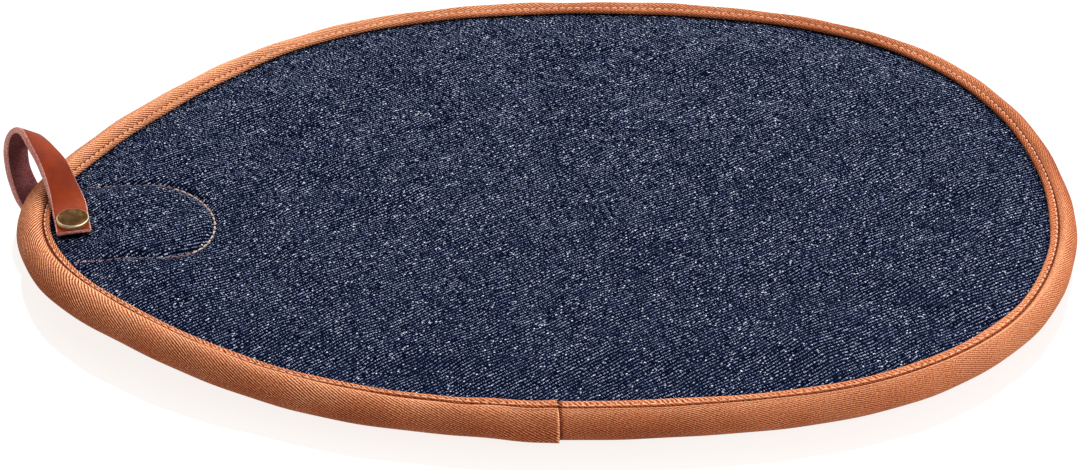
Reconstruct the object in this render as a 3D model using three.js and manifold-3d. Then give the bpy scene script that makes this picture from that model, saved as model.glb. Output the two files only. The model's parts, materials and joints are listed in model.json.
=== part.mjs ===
// Oven mitt: an egg-shaped quilted pad that folds across its middle.
// The upper face is denim, the edge is bound in tan tape, and two pockets lie underneath.
// A leather hanging loop wraps the narrow tip and closes with a brass snap.
// Millimetres, +Z up, lying flat. The wide end is towards +X, the narrow tip towards -X.

import * as THREE from 'three';
import { mergeVertices } from 'three/addons/utils/BufferGeometryUtils.js';
import Module from 'manifold-3d';

// ---- driving dimensions ----
const HALF_LENGTH = 180;          // half of the pad's length, tip to wide end
const SHIFT_Y = -3.3;             // moves the lopsided outline so its width is centred
const EDGE_ROUND = 6.6;           // half of the bound edge's thickness
const TAPE_COVER = 9.6;           // how far the binding tape reaches in over the face
const TIP_COVER = 1.6;            // extra reach of the tape round the narrow tip
const WIDE_TRIM = 1.2;            // the tape reaches in less along the wide half
const FOLD_X = -15;               // the fold line, where the tape's two ends meet
const FOLD_GAP = 0.3;             // clearance between the two halves at the fold
const TIP_LIFT = 3.0;             // the tip rides this high on the strap beneath it
const CAVITY_TOP = 7.0;           // underside of the lining over the pockets
const FACE_TOP = 11.6;            // top of the denim inside the binding
const CROWN = 0.9;                // extra height of the padding at the middle
const FINGER_MOUTH = 22;          // x of the finger pocket's mouth
const THUMB_MOUTH = -62;          // x of the thumb pocket's mouth
const SNAP_X = -161.0;            // the snap's axis
const SNAP_Y = -6.6;
const DIMPLE = 2.9;               // how far the snap squeezes the face down
const PINCH = 2.5;                // how far it squeezes the layers beneath
const STRAP_WIDTH = 11.6;
const STRAP_THICK = 1.9;
const THREAD_R = 0.3;
const GAP = 0.3;

// ---- colours ----
function material(color, roughness, metalness = 0) {
  return new THREE.MeshStandardMaterial({ color, roughness, metalness });
}
const DENIM = 0x232f4d;
const TAPE = 0xb4663c;
const LINING = 0x2c3a5c;
const WADDING = 0xe9e4d6;
const THREAD = 0xc98a52;
const LEATHER = 0x8a3f26;
const BRASS = 0x8d7545;

const mitt = new THREE.Group();
mitt.name = 'oven_mitt';

function smooth(t) {
  const c = Math.min(1, Math.max(0, t));
  return c * c * (3 - 2 * c);
}

function mix(a, b, t) {
  return a + (b - a) * t;
}

// ---- the outline ----
// Half width over the length angle t: a swelling series, fuller towards the wide end.
function side(t) {
  const swell = 131.5 + 29.1 * Math.cos(t) + 2.3 * Math.cos(2 * t) + 6.5 * Math.cos(3 * t)
    + 1.4 * Math.cos(4 * t) - 0.9 * Math.cos(5 * t) + 1.7 * Math.cos(6 * t) - 0.2 * Math.cos(7 * t);
  const bow = -0.6 + 4.1 * Math.cos(t) - 6 * Math.cos(2 * t) + 6.5 * Math.cos(3 * t)
    - 1.2 * Math.cos(4 * t) + 1.2 * Math.cos(5 * t);
  return swell * Math.sin(t) + bow * Math.sin(t) ** 2 + SHIFT_Y;
}

function outline(t) {
  return new THREE.Vector2(HALF_LENGTH * Math.cos(t), side(t));
}

// Unit normal of the outline, pointing out of the pad.
function outward(t) {
  const d = outline(t + 0.002).sub(outline(t - 0.002)).normalize();
  return new THREE.Vector2(d.y, -d.x);
}

function inset(t, depth) {
  return outline(t).sub(outward(t).multiplyScalar(depth));
}

// The angle t where the line inset by depth crosses a given x, on the +Y or -Y side.
function angleAt(x, depth, upper) {
  let lo = 0.02;
  let hi = Math.PI - 0.02;
  for (let i = 0; i < 40; i += 1) {
    const mid = (lo + hi) / 2;
    const p = inset(upper ? mid : -mid, depth);
    if (p.x > x) {
      lo = mid;
    } else {
      hi = mid;
    }
  }
  return upper ? lo : -lo;
}

// The tip is lifted by the strap that passes under it.
function lift(x) {
  return TIP_LIFT * smooth((-95 - x) / 60);
}

function tapeCover(x) {
  const trim = smooth((x + 70) / 60) * (1 - 0.6 * smooth((x - 140) / 30));
  return TAPE_COVER + TIP_COVER * smooth((-120 - x) / 50) - WIDE_TRIM * trim;
}

// ---- mesh helpers ----
function addMesh(name, geometry, color, roughness, metalness = 0) {
  const mesh = new THREE.Mesh(geometry, material(color, roughness, metalness));
  mesh.name = name;
  mitt.add(mesh);
  return mesh;
}

function closedGeometry(points, faces) {
  const g = new THREE.BufferGeometry();
  g.setAttribute('position', new THREE.Float32BufferAttribute(points.flat(), 3));
  g.setIndex(faces.flat());
  g.computeVertexNormals();
  return g;
}

// Sweeps a closed section along stations. Each station gives the section's 3-D points.
// The section runs anticlockwise seen from the sweep's start, looking back along it.
function sweep(stations, section2d) {
  const n = stations[0].length;
  const points = [];
  const faces = [];
  for (const ring of stations) {
    for (const p of ring) {
      points.push([p.x, p.y, p.z]);
    }
  }
  for (let i = 0; i + 1 < stations.length; i += 1) {
    for (let j = 0; j < n; j += 1) {
      const a = i * n + j;
      const b = i * n + ((j + 1) % n);
      faces.push([a, b, b + n]);
      faces.push([a, b + n, a + n]);
    }
  }
  const caps = THREE.ShapeUtils.triangulateShape(section2d, []);
  const last = (stations.length - 1) * n;
  for (const [a, b, c] of caps) {
    faces.push([a, c, b]);
    faces.push([last + a, last + b, last + c]);
  }
  return outwardFaces(closedGeometry(points, faces));
}

// Flips every face if the solid came out inside out.
function outwardFaces(g) {
  const p = g.attributes.position;
  const idx = g.index.array;
  let volume = 0;
  const a = new THREE.Vector3();
  const b = new THREE.Vector3();
  const c = new THREE.Vector3();
  for (let i = 0; i < idx.length; i += 3) {
    a.fromBufferAttribute(p, idx[i]);
    b.fromBufferAttribute(p, idx[i + 1]);
    c.fromBufferAttribute(p, idx[i + 2]);
    volume += a.dot(b.clone().cross(c));
  }
  if (volume < 0) {
    for (let i = 0; i < idx.length; i += 3) {
      const keep = idx[i + 1];
      idx[i + 1] = idx[i + 2];
      idx[i + 2] = keep;
    }
    g.computeVertexNormals();
  }
  return g;
}

// ---- boolean joining and cutting ----
const wasm = await Module();
wasm.setup();

function solid(geometry) {
  const g = geometry.clone();
  g.deleteAttribute('normal');
  g.deleteAttribute('uv');
  const merged = mergeVertices(g, 1e-4);
  return new wasm.Manifold(new wasm.Mesh({
    numProp: 3,
    vertProperties: Float32Array.from(merged.attributes.position.array),
    triVerts: Uint32Array.from(merged.index.array),
  }));
}

function fromSolid(body) {
  const m = body.getMesh();
  const g = new THREE.BufferGeometry();
  g.setAttribute('position', new THREE.BufferAttribute(m.vertProperties, 3));
  g.setIndex(new THREE.BufferAttribute(m.triVerts, 1));
  g.computeVertexNormals();
  return g;
}

// A round hole down the snap's axis, for the post that runs through every layer.
function withPostHole(geometry, radius) {
  const drill = new THREE.CylinderGeometry(radius, radius, 60, 12);
  drill.rotateX(Math.PI / 2);
  drill.translate(SNAP_X, SNAP_Y, 10);
  return fromSolid(solid(geometry).subtract(solid(drill)));
}

// ---- padded layers ----
// How far a point is inside the bound edge: 0 within the tape's reach, 1 well inside.
const RIM = [];
for (let i = 0; i < 240; i += 1) {
  RIM.push(outline((i / 240) * 2 * Math.PI));
}
function inner(x, y) {
  let nearest = 1e9;
  for (const p of RIM) {
    nearest = Math.min(nearest, Math.hypot(p.x - x, p.y - y));
  }
  return smooth((nearest - 12) / 20);
}

function dimple(x, y) {
  const r = Math.hypot(x - SNAP_X, y - SNAP_Y);
  return smooth((18 - r) / 12);
}

// A closed slab over a grid. xs lists the columns and span(x) gives that column's y limits.
// bottom and top give z for (x, y, e), where e is 0 at the bound edge and 1 well inside.
function slab(xs, span, rows, bottom, top) {
  const columns = xs.length - 1;
  const low = [];
  const high = [];
  for (const x of xs) {
    const [yLow, yTop] = span(x);
    for (let j = 0; j <= rows; j += 1) {
      const v = Math.sin(mix(-1, 1, j / rows) * Math.PI / 2);
      const y = mix(yLow, yTop, (v + 1) / 2);
      const e = inner(x, y);
      low.push([x, y, bottom(x, y, e) + lift(x)]);
      high.push([x, y, top(x, y, e) + lift(x)]);
    }
  }
  const faces = [];
  const per = rows + 1;
  const half = low.length;
  for (let i = 0; i < columns; i += 1) {
    for (let j = 0; j < rows; j += 1) {
      const a = i * per + j;
      faces.push([a, a + per + 1, a + per], [a, a + 1, a + per + 1]);
      const b = a + half;
      faces.push([b, b + per, b + per + 1], [b, b + per + 1, b + 1]);
    }
  }
  const rim = [];
  for (let j = 0; j < rows; j += 1) {
    rim.push(j);
  }
  for (let i = 0; i < columns; i += 1) {
    rim.push(i * per + rows);
  }
  for (let j = rows; j > 0; j -= 1) {
    rim.push(columns * per + j);
  }
  for (let i = columns; i > 0; i -= 1) {
    rim.push(i * per);
  }
  for (let k = 0; k < rim.length; k += 1) {
    const a = rim[k];
    const b = rim[(k + 1) % rim.length];
    faces.push([a, b + half, b], [a, a + half, b + half]);
  }
  return outwardFaces(closedGeometry([...low, ...high], faces));
}

// One layer of the pad, from the tip or the wide end (tipEnd -1 or 1) to x = xEnd.
// A hem adds one more column that far from xEnd.
function layer(tipEnd, xEnd, depth, columns, rows, bottom, top, hem = 0) {
  const xTip = inset(tipEnd < 0 ? Math.PI : 0, depth).x;
  const xs = [];
  for (let i = 0; i <= columns; i += 1) {
    const k = mix(0.07, 1, i / columns);
    xs.push(mix(xTip, xEnd, 1 - Math.cos(k * Math.PI / 2)));
  }
  if (hem > 0) {
    xs.splice(xs.length - 1, 0, xEnd + tipEnd * hem);
  }
  const span = (x) => [
    inset(angleAt(x, depth, false), depth).y,
    inset(angleAt(x, depth, true), depth).y,
  ];
  return slab(xs, span, rows, bottom, top);
}

function crown(x, y) {
  return CROWN * Math.exp(-((x - 25) ** 2) / 9000 - (y ** 2) / 7000);
}

// The U-shaped seam at the tip: its far end, half width and slightly slanting middle line.
const U_FAR = -114;
const U_HALF = 22.5;
function uLine(x) {
  return -3.5 - (x + 160) * 0.045;
}

const halves = [
  { name: 'narrow', tip: -1, end: FOLD_X - FOLD_GAP / 2, columns: 13, rows: 12 },
  { name: 'wide', tip: 1, end: FOLD_X + FOLD_GAP / 2, columns: 14, rows: 12 },
];

function faceTop(x, y, e) {
  return mix(9.9, FACE_TOP, e) + crown(x, y) - DIMPLE * dimple(x, y);
}

for (const h of halves) {
  const atTip = h.tip < 0;
  const parts = [
    {
      name: `denim_face_${h.name}`, color: DENIM, depth: 7.4,
      bottom: (x, y, e) => faceTop(x, y, e) - 0.9,
      top: faceTop,
    },
    {
      name: `wadding_${h.name}`, color: WADDING, depth: 7.8,
      bottom: (x, y, e) => mix(6.5, CAVITY_TOP + 0.9, e) - PINCH * dimple(x, y),
      top: (x, y, e) => faceTop(x, y, e) - 1.2 - 1.72 * smooth((-98 - x) / 8),
    },
    {
      name: `lining_${h.name}`, color: LINING, depth: 7.6,
      bottom: (x, y, e) => mix(5.5, CAVITY_TOP, e) - PINCH * dimple(x, y),
      top: (x, y, e) => mix(6.2, CAVITY_TOP + 0.6, e) - PINCH * dimple(x, y),
    },
  ];
  for (const part of parts) {
    let g = layer(h.tip, h.end, part.depth, h.columns, h.rows, part.bottom, part.top);
    if (atTip) {
      g = withPostHole(g, 1.9);
    }
    addMesh(part.name, g, part.color, 0.9);
  }
}

// The stay patch inside the U seam, which spreads the snap's pull.
const stayXs = [];
for (let i = 0; i <= 9; i += 1) {
  stayXs.push(mix(-165.5, U_FAR - 3.0, Math.sin((i / 9) * Math.PI / 2)));
}
const stay = slab(stayXs, (x) => {
  const r = U_HALF - 2.6;
  const over = Math.max(0, x - (U_FAR - U_HALF));
  const half = Math.sqrt(r * r - over * over);
  const low = inset(angleAt(x, 12.5, false), 12.5).y;
  const high = inset(angleAt(x, 12.5, true), 12.5).y;
  return [Math.max(uLine(x) - half, low), Math.min(uLine(x) + half, high)];
}, 8, (x, y, e) => faceTop(x, y, e) - 2.5, (x, y, e) => faceTop(x, y, e) - 1.95);
addMesh('stay_patch', withPostHole(stay, 1.9), LINING, 0.9);

// ---- pockets under the pad ----
const pockets = [
  { name: 'finger', tip: 1, mouth: FINGER_MOUTH, columns: 11, rows: 12 },
  { name: 'thumb', tip: -1, mouth: THUMB_MOUTH, columns: 10, rows: 12 },
];

for (const pocket of pockets) {
  const edge = pocket.mouth + pocket.tip * 1.5;
  const near = (x) => smooth((Math.abs(x - edge) - 4.2) / 9);
  const bottom = (x, y, e) => mix(2.6, mix(1.3, 0, near(x)), e);
  const top = (x, y, e) => bottom(x, y, e) + mix(0.5, 1.2, near(x) * e);
  let g = layer(pocket.tip, edge, 7.6, pocket.columns, pocket.rows, bottom, top, 4.2);
  if (pocket.tip < 0) {
    g = withPostHole(g, 1.9);
  }
  addMesh(`${pocket.name}_pocket_panel`, g, DENIM, 0.92);

  // Tape folded over the pocket's mouth: a channel that holds the panel's edge.
  const t = pocket.tip;
  const section = [[0, 0.9], [0.4, 0.7], [5.2, 0.7], [5.2, 1.0], [1.2, 1.0], [1.2, 2.1],
    [5.2, 2.1], [5.2, 2.4], [0.4, 2.4], [0, 2.2]];
  const yHigh = inset(angleAt(pocket.mouth, 12.5, true), 12.5).y;
  const yLow = inset(angleAt(pocket.mouth, 12.5, false), 12.5).y;
  const stations = [];
  const seamLine = [];
  const steps = 16;
  for (let i = 0; i <= steps; i += 1) {
    const y = mix(yLow, yHigh, i / steps);
    const rise = 1.3 * (1 - inner(pocket.mouth, y));
    stations.push(section.map(([a, z]) => {
      const x = pocket.mouth + t * a;
      return new THREE.Vector3(x, y, z + rise + lift(x));
    }));
    if (i > 0 && i < steps) {
      seamLine.push(new THREE.Vector3(pocket.mouth + t * 3.6, y, 0.25 + rise));
    }
  }
  const flat = section.map(([a, z]) => new THREE.Vector2(a, z));
  addMesh(`${pocket.name}_pocket_mouth_tape`, sweep(stations, flat), TAPE, 0.85);
  addMesh(`${pocket.name}_mouth_stitch`, threadAlong(seamLine, 0.2), THREAD, 0.7);
}

// ---- edge binding ----
// The stitched furrow follows the tape's inner lip, so the roll is wider round the narrow end.
const FURROW = 7.0;
function furrowInset(cover) {
  return FURROW + 1.1 * (cover - TAPE_COVER);
}

// Section of the folded tape round the edge: across is measured in from the outline.
function tapeSection(cover) {
  const list = [];
  const r = EDGE_ROUND;
  const lip = cover;
  const furrow = furrowInset(cover);
  const wide = r * 0.92 * (furrow / FURROW);
  list.push([lip, 11.1], [lip - 1.2, 11.5], [furrow, 11.2]);
  for (let i = 0; i <= 8; i += 1) {
    const a = Math.PI * (0.46 + 1.08 * (i / 8));
    list.push([wide + wide * Math.cos(a), r + r * Math.sin(a)]);
  }
  list.push([furrow, 1.3], [lip - 1.2, 1.0], [lip, 1.3]);
  list.push([lip, 2.1], [6.2, 2.1], [6.2, 10.35], [lip, 10.35]);
  return list;
}

function bindingStations(from, to, steps, lap, foldSide) {
  const stations = [];
  for (let i = 0; i <= steps; i += 1) {
    const t = mix(from, to, i / steps);
    const p = outline(t);
    const n = outward(t);
    const s = lap(p, t);
    stations.push(tapeSection(tapeCover(p.x)).map(([a, z]) => {
      const outerSide = a < 6 || z > 10.5 || z < 1.6;
      const extra = outerSide ? s : 0;
      const q = p.clone().sub(n.clone().multiplyScalar(a - extra * (a < 6 ? 0.9 : 0)));
      const up = outerSide && z > EDGE_ROUND ? extra * 0.5 : 0;
      if (i === 0 || i === steps) {
        q.x = foldSide;
      }
      return new THREE.Vector3(q.x, q.y, z + lift(q.x) + up);
    }));
  }
  return stations;
}

const flatSection = tapeSection(TAPE_COVER).map(([a, z]) => new THREE.Vector2(a, z));
const gapAngle = FOLD_GAP / 2 / HALF_LENGTH;
const splitTop = Math.acos(FOLD_X / HALF_LENGTH);
const splitLow = 2 * Math.PI - splitTop;

// The narrow half's tape has the folded end that laps over the other one and stands out from it.
const LAP_PROUD = 1.5;
function lapAtFront(p) {
  return p.y < 0 ? LAP_PROUD * smooth((p.x - (FOLD_X - 20)) / 19) : 0;
}
addMesh('edge_binding_narrow',
  sweep(bindingStations(splitTop + gapAngle, splitLow - gapAngle, 56, lapAtFront,
    FOLD_X - FOLD_GAP / 2), flatSection), TAPE, 0.85);
addMesh('edge_binding_wide',
  sweep(bindingStations(-splitTop + gapAngle, splitTop - gapAngle, 46, () => 0,
    FOLD_X + FOLD_GAP / 2), flatSection), TAPE, 0.85);

// ---- stitching ----
function threadAlong(points, radius) {
  const stations = [];
  for (let i = 0; i < points.length; i += 1) {
    const before = points[Math.max(0, i - 1)];
    const after = points[Math.min(points.length - 1, i + 1)];
    const d = after.clone().sub(before).normalize();
    const across = new THREE.Vector3(-d.y, d.x, 0).normalize();
    const up = d.clone().cross(across);
    const ring = [];
    for (let k = 0; k < 4; k += 1) {
      const a = (k / 4) * 2 * Math.PI + Math.PI / 4;
      ring.push(points[i].clone()
        .add(across.clone().multiplyScalar(radius * Math.cos(a)))
        .add(up.clone().multiplyScalar(radius * Math.sin(a))));
    }
    stations.push(ring);
  }
  const square = [0, 1, 2, 3].map((k) => {
    const a = (k / 4) * 2 * Math.PI + Math.PI / 4;
    return new THREE.Vector2(Math.cos(a), Math.sin(a));
  });
  return sweep(stations, square);
}

function bindingThread(from, to, steps, z) {
  const points = [];
  for (let i = 0; i <= steps; i += 1) {
    const t = mix(from, to, i / steps);
    const p = outline(t);
    const q = inset(t, furrowInset(tapeCover(p.x)) + 0.8);
    points.push(new THREE.Vector3(q.x, q.y, z + lift(q.x)));
  }
  return points;
}

const skip = 3 * gapAngle;
for (const [label, z] of [['top', 11.5 + THREAD_R], ['under', 0.9 - THREAD_R]]) {
  const a = bindingThread(splitTop + skip, splitLow - 0.1, 44, z);
  addMesh(`binding_stitch_${label}_narrow`, threadAlong(a, THREAD_R), THREAD, 0.7);
  const b = bindingThread(-splitTop + skip, splitTop - skip, 36, z);
  addMesh(`binding_stitch_${label}_wide`, threadAlong(b, THREAD_R), THREAD, 0.7);
}

// The U-shaped seam that holds the stay patch behind the snap.
const seam = [];
const uCentre = U_FAR - U_HALF;
for (let i = 0; i <= 8; i += 1) {
  const x = mix(-155, uCentre, i / 8);
  seam.push([x, uLine(x) + U_HALF]);
}
for (let i = 1; i < 12; i += 1) {
  const a = Math.PI / 2 - Math.PI * (i / 12);
  const x = uCentre + U_HALF * Math.cos(a);
  seam.push([x, uLine(x) + U_HALF * Math.sin(a)]);
}
for (let i = 0; i <= 8; i += 1) {
  const x = mix(uCentre, -160, i / 8);
  seam.push([x, uLine(x) - U_HALF]);
}
const seamPoints = seam.map(([x, y]) => {
  const high = faceTop(x, y, inner(x, y)) + lift(x);
  return new THREE.Vector3(x, y, high + 0.7);
});
addMesh('u_seam_stitch', threadAlong(seamPoints, THREAD_R * 0.9), THREAD, 0.7);

// ---- leather hanging strap ----
// The strap leaves the snap under the pad, rises outside the tip, bends over and comes back.
// Each stop is x, y, z of the strap's middle, then its turn and its sideways lean in degrees.
const strapStops = [
  [-160.7, -12, 1.85, 9, 0],
  [-162.3, 0.9, 1.85, 11, 0],
  [-166.1, 11.2, 1.8, 16.7, 1],
  [-169.0, 17.6, 1.9, 22, 2.5],
  [-172.0, 23.0, 2.6, 33, 5.8],
  [-175.7, 27.9, 5.5, 45, 10.9],
  [-178.3, 31.7, 11.7, 51, 14.7],
  [-179.0, 33.7, 17.2, 52, 18],
  [-178.7, 34.6, 21.5, 50, 22],
  [-177.3, 34.4, 25.1, 45, 28],
  [-175.1, 32.6, 27.4, 37, 35],
  [-172.9, 29.5, 28.0, 32, 38],
  [-170.5, 24.8, 27.0, 30, 32],
  [-166.9, 18.3, 23.9, 26, 22],
  [-163.7, 11.7, 18.8, 17, 11],
  [-161.5, 5.7, 15.4, 5, 0],
];
const HINGE = new THREE.Vector3(-161.4, 4.4, 15.25);

const strapCurve = new THREE.CatmullRomCurve3(
  strapStops.map(([x, y, z]) => new THREE.Vector3(x, y, z)), false, 'centripetal');
const strapSteps = 48;
const strapStations = [];
for (let i = 0; i <= strapSteps; i += 1) {
  const k = i / strapSteps;
  const along = k * (strapStops.length - 1);
  const cell = Math.min(strapStops.length - 2, Math.floor(along));
  const part = along - cell;
  const turn = THREE.MathUtils.degToRad(mix(strapStops[cell][3], strapStops[cell + 1][3], part));
  const lean = THREE.MathUtils.degToRad(mix(strapStops[cell][4], strapStops[cell + 1][4], part));
  const centre = strapCurve.getPoint(k);
  const forward = strapCurve.getTangent(k);
  const wide = new THREE.Vector3(
    Math.cos(turn) * Math.cos(lean), Math.sin(turn) * Math.cos(lean), -Math.sin(lean));
  const ahead = forward.clone().sub(wide.clone().multiplyScalar(forward.dot(wide))).normalize();
  const thick = ahead.clone().cross(wide);
  const w = STRAP_WIDTH / 2;
  const h = STRAP_THICK / 2;
  strapStations.push([[-w, -h], [w, -h], [w, h], [-w, h]].map(([a, c]) => centre.clone()
    .add(wide.clone().multiplyScalar(a)).add(thick.clone().multiplyScalar(c))));
}
const strapFlat = [[-1, -1], [1, -1], [1, 1], [-1, 1]].map(([a, c]) => new THREE.Vector2(a, c));
addMesh('strap_loop', withPostHole(sweep(strapStations, strapFlat), 1.7), LEATHER, 0.55);

// The strap's snap end: a flat tab with a rounded root where it bends upwards.
const TAB_LENGTH = 16.8;
const tabSide = new THREE.Shape();
tabSide.moveTo(-TAB_LENGTH, -STRAP_THICK / 2);
tabSide.lineTo(0, -STRAP_THICK / 2);
tabSide.absarc(0, 0, STRAP_THICK / 2, -Math.PI / 2, Math.PI / 2, false);
tabSide.lineTo(-TAB_LENGTH, STRAP_THICK / 2);
tabSide.closePath();
const tab = new THREE.ExtrudeGeometry(tabSide, {
  depth: STRAP_WIDTH, bevelEnabled: false, curveSegments: 8, steps: 1,
});
tab.translate(0, 0, -STRAP_WIDTH / 2);
tab.rotateX(Math.PI / 2);
tab.rotateZ(THREE.MathUtils.degToRad(93.3));
tab.translate(HINGE.x, HINGE.y, HINGE.z);
addMesh('strap_tab', withPostHole(tab, 1.7), LEATHER, 0.55);

// ---- the snap ----
function turned(profile, segments) {
  const g = new THREE.LatheGeometry(
    profile.map(([r, z]) => new THREE.Vector2(r, z)), segments);
  g.rotateX(Math.PI / 2);
  g.translate(SNAP_X, SNAP_Y, 0);
  const merged = mergeVertices(g.deleteAttribute('uv') && g.deleteAttribute('normal') && g, 1e-4);
  return outwardFaces(dropFlat(merged));
}

// Drops the zero-area triangles a lathe leaves where its profile meets the axis.
function dropFlat(g) {
  const kept = [];
  const idx = g.index.array;
  for (let i = 0; i < idx.length; i += 3) {
    const [a, b, c] = [idx[i], idx[i + 1], idx[i + 2]];
    if (a !== b && b !== c && a !== c) {
      kept.push(a, b, c);
    }
  }
  g.setIndex(kept);
  g.computeVertexNormals();
  return g;
}

const CAP_R = 5.5;
addMesh('snap_cap', turned([[0, 14.6], [1.3, 14.6], [1.3, 16.5], [CAP_R - 0.4, 16.5],
  [CAP_R, 17.0], [CAP_R - 0.1, 17.8], [CAP_R - 0.7, 18.1], [CAP_R - 1.2, 17.9], [2.5, 18.25],
  [0, 18.35]], 24), BRASS, 0.35, 1);
addMesh('snap_socket', turned([[0, 13.6], [2.1, 13.6], [2.1, 12.2], [3.9, 12.2], [4.1, 12.8],
  [3.9, 13.9], [0, 14.1]], 20), BRASS, 0.4, 1);
addMesh('snap_stud', turned([[0, 8.2], [1.3, 8.2], [1.3, 11.1], [3.6, 11.1], [3.5, 11.6],
  [1.6, 11.7], [1.7, 13.0], [1.2, 13.3], [0, 13.3]], 20), BRASS, 0.4, 1);
addMesh('snap_back_rivet', turned([[0, 0.05], [3.9, 0.05], [4.4, 0.4], [4.0, 0.7], [1.3, 0.7],
  [1.3, 7.9], [0, 7.9]], 20), BRASS, 0.4, 1);

// The origin is on the resting plane under the middle of the whole part.
const box = new THREE.Box3().setFromObject(mitt, true);
mitt.position.set(-(box.min.x + box.max.x) / 2, -(box.min.y + box.max.y) / 2, -box.min.z);

export default mitt;
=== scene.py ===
# Oven mitt on a pale table: denim pad with a bound edge, pockets beneath and a leather hanging loop.
import bmesh
import bpy
import json
import math
import numpy as np
from mathutils import Matrix, Vector

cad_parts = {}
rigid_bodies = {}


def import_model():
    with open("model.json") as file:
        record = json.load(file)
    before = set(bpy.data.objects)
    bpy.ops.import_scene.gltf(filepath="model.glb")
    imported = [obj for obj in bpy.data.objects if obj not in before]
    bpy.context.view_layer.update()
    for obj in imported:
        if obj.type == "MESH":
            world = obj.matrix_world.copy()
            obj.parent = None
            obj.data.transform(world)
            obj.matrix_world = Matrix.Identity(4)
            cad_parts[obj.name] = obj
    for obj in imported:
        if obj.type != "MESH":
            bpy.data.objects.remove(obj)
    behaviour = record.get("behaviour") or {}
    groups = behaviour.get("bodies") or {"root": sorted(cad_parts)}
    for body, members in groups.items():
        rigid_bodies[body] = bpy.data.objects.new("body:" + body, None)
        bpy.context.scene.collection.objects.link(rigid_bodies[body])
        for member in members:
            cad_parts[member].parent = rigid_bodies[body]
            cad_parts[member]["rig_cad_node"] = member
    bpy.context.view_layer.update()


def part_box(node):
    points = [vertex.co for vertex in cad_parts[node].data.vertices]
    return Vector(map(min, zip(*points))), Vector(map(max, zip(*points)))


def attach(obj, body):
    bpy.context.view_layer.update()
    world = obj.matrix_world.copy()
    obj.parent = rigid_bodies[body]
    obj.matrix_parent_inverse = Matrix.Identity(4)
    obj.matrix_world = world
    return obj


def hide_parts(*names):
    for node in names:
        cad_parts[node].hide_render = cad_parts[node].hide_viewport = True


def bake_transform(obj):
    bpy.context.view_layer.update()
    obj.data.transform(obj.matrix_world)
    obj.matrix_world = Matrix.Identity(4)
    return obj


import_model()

scene = bpy.context.scene
scene.view_settings.view_transform = "Standard"
scene.view_settings.look = "None"

# ---------------------------------------- dimensions, millimetres
HALF_LENGTH = 180.0
SHIFT_Y = -3.3
EDGE_ROUND = 6.6
TAPE_COVER = 9.6
TIP_COVER = 1.6
WIDE_TRIM = 1.2
FOLD_X = -15.0
TIP_LIFT, LIFT_FROM, LIFT_RUN = 3.0, -95, 60
# Layers: how far each starts inside the edge, and its heights at the edge and in the middle.
FACE_INSET, WADDING_INSET, LINING_INSET = 7.4, 7.8, 7.6
EDGE_FLAT, EDGE_RUN = 12, 20
CAVITY_TOP = 7.0
LINING_EDGE, LINING_THICK = 5.5, 0.5
WADDING_EDGE, WADDING_GAP = 6.5, 0.9
FACE_EDGE, FACE_TOP, DENIM_THICK = 9.9, 11.6, 0.9
CROWN = 0.9
FINGER_MOUTH = 22.0
THUMB_MOUTH = -62.0
SNAP_X, SNAP_Y = -161.0, -6.6
STRAP_REST = 13.45
DIMPLE = 2.9
PINCH = 2.5
STRAP_WIDTH, STRAP_THICK, STRAP_ROUND = 11.6, 2.1, 0.35
U_FAR, U_HALF = -114.0, 22.5
STITCH_STEP, U_STEP, MOUTH_STEP = 2.75, 2.7, 2.9
TWILL_PITCH = 1.22
TWILL_ANGLE = math.radians(28)
RIB_PITCH = 0.78
RIB_ANGLE = math.radians(27)
# The CAD frame is centred on its own box: the loop reaches past the tip on one side only.
BINDING_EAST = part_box("edge_binding_wide")[1][0] * 1000
ORIGIN = np.array([BINDING_EAST - HALF_LENGTH, 0.0001, 0.0])


def world(points):
    return (np.asarray(points, float) + ORIGIN) / 1000.0


# ---------------------------------------- outline and heights
def smooth(t):
    c = np.clip(t, 0.0, 1.0)
    return c * c * (3 - 2 * c)


def mix(a, b, t):
    return a + (b - a) * t


def side(t):
    swell = (131.5 + 29.1 * np.cos(t) + 2.3 * np.cos(2 * t) + 6.5 * np.cos(3 * t)
             + 1.4 * np.cos(4 * t) - 0.9 * np.cos(5 * t) + 1.7 * np.cos(6 * t) - 0.2 * np.cos(7 * t))
    bow = (-0.6 + 4.1 * np.cos(t) - 6.0 * np.cos(2 * t) + 6.5 * np.cos(3 * t)
           - 1.2 * np.cos(4 * t) + 1.2 * np.cos(5 * t))
    return swell * np.sin(t) + bow * np.sin(t) ** 2 + SHIFT_Y


def outline(t):
    t = np.asarray(t, float)
    return np.stack([HALF_LENGTH * np.cos(t), side(t)], -1)


def outward(t):
    d = outline(t + 0.002) - outline(t - 0.002)
    d /= np.linalg.norm(d, axis=-1, keepdims=True)
    return np.stack([d[..., 1], -d[..., 0]], -1)


def inset(t, depth):
    return outline(t) - outward(t) * np.asarray(depth, float)[..., None]


def lift(x):
    return TIP_LIFT * smooth((LIFT_FROM - x) / LIFT_RUN)


def from_edge(dist):
    """0 by the tape, 1 where the pad has its full height."""
    return smooth((dist - EDGE_FLAT) / EDGE_RUN)


def tape_cover(x):
    trim = smooth((x + 70) / 60) * (1 - 0.6 * smooth((x - 140) / 30))
    return TAPE_COVER + TIP_COVER * smooth((-120 - x) / 50) - WIDE_TRIM * trim


RIM = outline(np.linspace(0, 2 * np.pi, 900, endpoint=False))
SPLIT_TOP = math.acos(FOLD_X / HALF_LENGTH)
SPLIT_LOW = 2 * math.pi - SPLIT_TOP
# The binding runs right round, its start tucked under its folded end.
TAPE_RUN = np.linspace(SPLIT_LOW - 2 * math.pi - 0.02, SPLIT_LOW, 1500)
TAPE_STEP = np.r_[0, np.cumsum(np.linalg.norm(np.diff(outline(TAPE_RUN), axis=0), axis=1))]
TAPE_START = float(np.interp(SPLIT_LOW - 2 * math.pi, TAPE_RUN, TAPE_STEP))
TAPE_END = float(TAPE_STEP[-1])


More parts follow.
